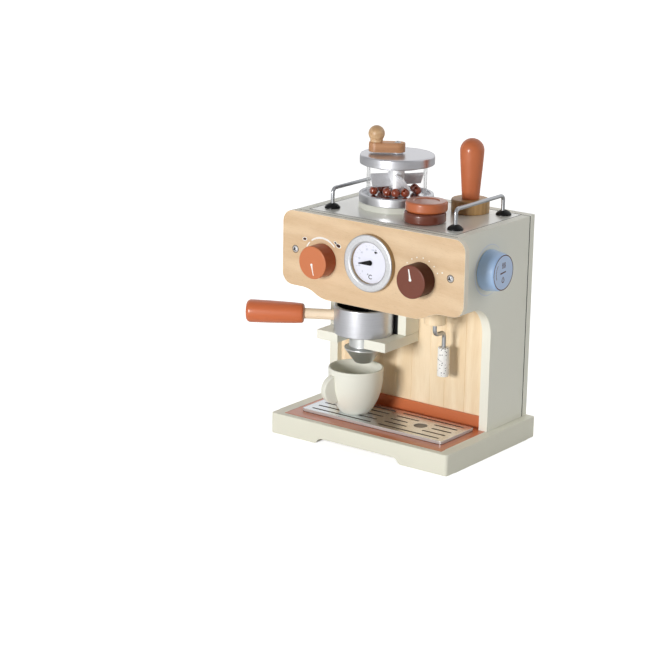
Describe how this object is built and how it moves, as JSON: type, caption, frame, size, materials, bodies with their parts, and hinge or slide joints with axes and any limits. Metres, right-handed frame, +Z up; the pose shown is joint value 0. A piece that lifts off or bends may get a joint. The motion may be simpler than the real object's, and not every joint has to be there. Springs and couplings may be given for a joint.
{
  "type": "toy coffee maker",
  "caption": "Wooden toy coffee machine with turning knobs, a gauge, a slide-out portafilter, a swivelling steam wand, a cranked play grinder, a drip grille, a mug, pods and a tamper.",
  "frame": {"origin": "on the floor under the middle of the base, which is the middle of the centre rail's underside", "axes": "+X to the machine's right as seen from its front, +Y to its back, +Z up"},
  "size_m": [0.3119, 0.2103, 0.3778],
  "materials": {
    "cream_paint": "cream satin paint on wood",
    "top_paint": "cream semi-gloss paint on wood",
    "terracotta_paint": "terracotta satin paint on wood",
    "plywood": "clear satin lacquer on pale plywood",
    "pale_wood": "smooth pale wood, satin",
    "beech": "smooth beech, satin",
    "orange_paint": "orange satin paint on turned wood",
    "brown_paint": "brown satin paint on turned wood",
    "blue_paint": "pale blue satin paint on turned wood",
    "silver_paint": "silver metallic paint on turned wood",
    "white_paint": "white paint with grey speckles on wood",
    "mug_paint": "pale cream satin paint on turned wood",
    "bean_stain": "glossy brown stain on wooden beads",
    "steel": "satin grey metal",
    "black_plastic": "black, slightly soft",
    "black_paint": "matt black paint on wood",
    "dial_plastic": "white printed plastic",
    "clear_plastic": "clear, polished"
  },
  "bodies": {
    "machine": {"base_front_rail": "cream_paint", "base_rear_rail": "cream_paint", "base_left_rail": "cream_paint", "base_right_rail": "cream_paint", "base_centre_rail": "pale_wood", "base_deck": "terracotta_paint", "skirting": "terracotta_paint", "side_panel_left": "cream_paint", "side_panel_right": "cream_paint", "wall_panel": "pale_wood", "head_floor": "cream_paint", "head_front": "cream_paint", "top_panel": "top_paint", "rear_cover": "cream_paint", "cover_screws": "steel", "assembly_dowels": "beech", "fascia": "plywood", "fascia_screws": "steel", "gauge_ring": "silver_paint", "gauge_dial": "dial_plastic", "gauge_pin": "steel", "fork_holder": "cream_paint", "cheek_left": "cream_paint", "cheek_right": "cream_paint", "cup_cradle": "black_paint", "steam_boss": "pale_wood", "grinder_collar": "cream_paint", "hopper_base": "silver_paint", "hopper_tube": "clear_plastic", "hopper_lid": "silver_paint", "coffee_beans": "bean_stain", "rail_left": "steel", "rail_right": "steel", "rail_feet": "black_plastic"},
    "strength_dial": {"strength_knob": "orange_paint", "strength_spindle": "steel", "strength_retainer": "beech"},
    "temperature_dial": {"temperature_knob": "brown_paint", "temperature_spindle": "steel", "temperature_retainer": "beech"},
    "steam_dial": {"steam_knob": "blue_paint", "steam_spindle": "steel", "steam_retainer": "beech"},
    "gauge_hand": {"gauge_needle": "black_plastic"},
    "crank": {"grinder_rotor": "silver_paint", "crank_arm": "beech", "crank_ball": "beech", "crank_screw": "steel"},
    "spout_carriage": {"spout": "silver_paint"},
    "portafilter": {"portafilter_cup": "silver_paint", "handle_stem": "pale_wood", "handle_grip": "orange_paint"},
    "steam_wand": {"steam_pipe": "steel", "steam_tip": "white_paint"},
    "grille": {"drip_grille": "steel"},
    "play_mug": {"mug": "mug_paint"},
    "tamper": {"tamper_base": "beech", "tamper_handle": "terracotta_paint"},
    "lower_pod": {"pod_brown": "brown_paint"},
    "upper_pod": {"pod_orange": "terracotta_paint"}
  },
  "joints": [
    {"name": "strength_turn", "type": "hinge", "parent": "machine", "child": "strength_dial", "pos_m": [-0.071, -0.0763, 0.2245], "axis": [0, -1, 0], "continuous": true},
    {"name": "temperature_turn", "type": "hinge", "parent": "machine", "child": "temperature_dial", "pos_m": [0.071, -0.0763, 0.2245], "axis": [0, -1, 0], "continuous": true},
    {"name": "steam_turn", "type": "hinge", "parent": "machine", "child": "steam_dial", "pos_m": [0.11825, -0.0062, 0.2297], "axis": [1, 0, 0], "continuous": true},
    {"name": "gauge_hand_turn", "type": "hinge", "parent": "machine", "child": "gauge_hand", "pos_m": [0, -0.0786, 0.2323], "axis": [0, -1, 0], "continuous": true},
    {"name": "crank_turn", "type": "hinge", "parent": "machine", "child": "crank", "pos_m": [-0.0355, 0.0239, 0.2926], "axis": [0, 0, 1], "continuous": true},
    {"name": "portafilter_slide", "type": "slide", "parent": "machine", "child": "spout_carriage", "axis": [0, -1, 0], "range_m": [0, 0.1]},
    {"name": "portafilter_turn", "type": "hinge", "parent": "spout_carriage", "child": "portafilter", "pos_m": [-0.0414, -0.0297, 0.1302], "axis": [0, 0, 1], "range_deg": [-25, 60]},
    {"name": "wand_swivel", "type": "hinge", "parent": "machine", "child": "steam_wand", "pos_m": [0.0608, -0.0275, 0.1585], "axis": [0, 0, 1], "continuous": true},
    {"name": "grille_slide", "type": "slide", "parent": "machine", "child": "grille", "axis": [0, -1, 0], "range_m": [0, 0.12]},
    {"name": "mug_slide", "type": "slide", "parent": "grille", "child": "play_mug", "axis": [0, -1, 0], "range_m": [0, 0.09]},
    {"name": "tamper_lift", "type": "slide", "parent": "machine", "child": "tamper", "axis": [0, 0, 1], "range_m": [0, 0.12]},
    {"name": "lower_pod_lift", "type": "slide", "parent": "machine", "child": "lower_pod", "axis": [0, 0, 1], "range_m": [0, 0.12]},
    {"name": "upper_pod_lift", "type": "slide", "parent": "lower_pod", "child": "upper_pod", "axis": [0, 0, 1], "range_m": [0, 0.12]}
  ]
}
